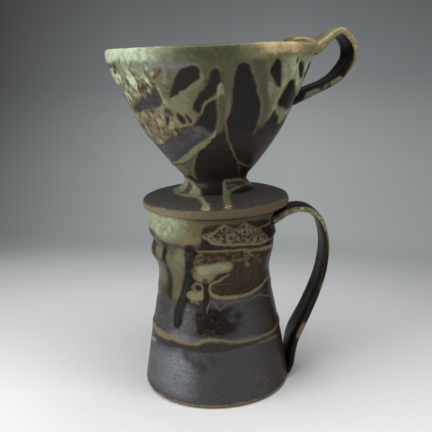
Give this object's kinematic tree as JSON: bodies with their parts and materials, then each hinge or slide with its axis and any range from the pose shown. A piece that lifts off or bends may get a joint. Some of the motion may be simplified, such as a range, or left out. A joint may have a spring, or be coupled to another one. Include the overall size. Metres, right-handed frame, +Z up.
{
  "type": "pour over coffee dripper",
  "caption": "Stoneware pour over dripper, a cone on a saucer with a loop handle, standing loose on its tall flared mug.",
  "frame": {"origin": "centre of the mug's foot, on the surface that it stands on", "axes": "+Z up along the mug's axis, +X towards both handles, -Y towards the front"},
  "size_m": [0.1546, 0.1262, 0.2279],
  "materials": {
    "cone_glaze": "glossy olive and mint glaze with dark brown patches",
    "saucer_glaze": "satin dark charcoal-brown glaze with a bare speckled tan edge",
    "ring_clay": "unglazed speckled stoneware",
    "dripper_handle_glaze": "glossy olive glaze over dark brown",
    "mug_body_glaze": "green and tan glaze runs over satin gunmetal charcoal",
    "mug_handle_glaze": "glossy dark brown glaze with tan edges"
  },
  "bodies": {
    "mug": {"mug_body": "mug_body_glaze", "mug_handle": "mug_handle_glaze"},
    "dripper": {"dripper_cone": "cone_glaze", "dripper_saucer": "saucer_glaze", "locating_ring": "ring_clay", "dripper_handle": "dripper_handle_glaze"}
  },
  "joints": [
    {"name": "dripper_lift", "type": "slide", "parent": "mug", "child": "dripper", "axis": [0, 0, 1], "range_m": [0, 0.12]}
  ]
}
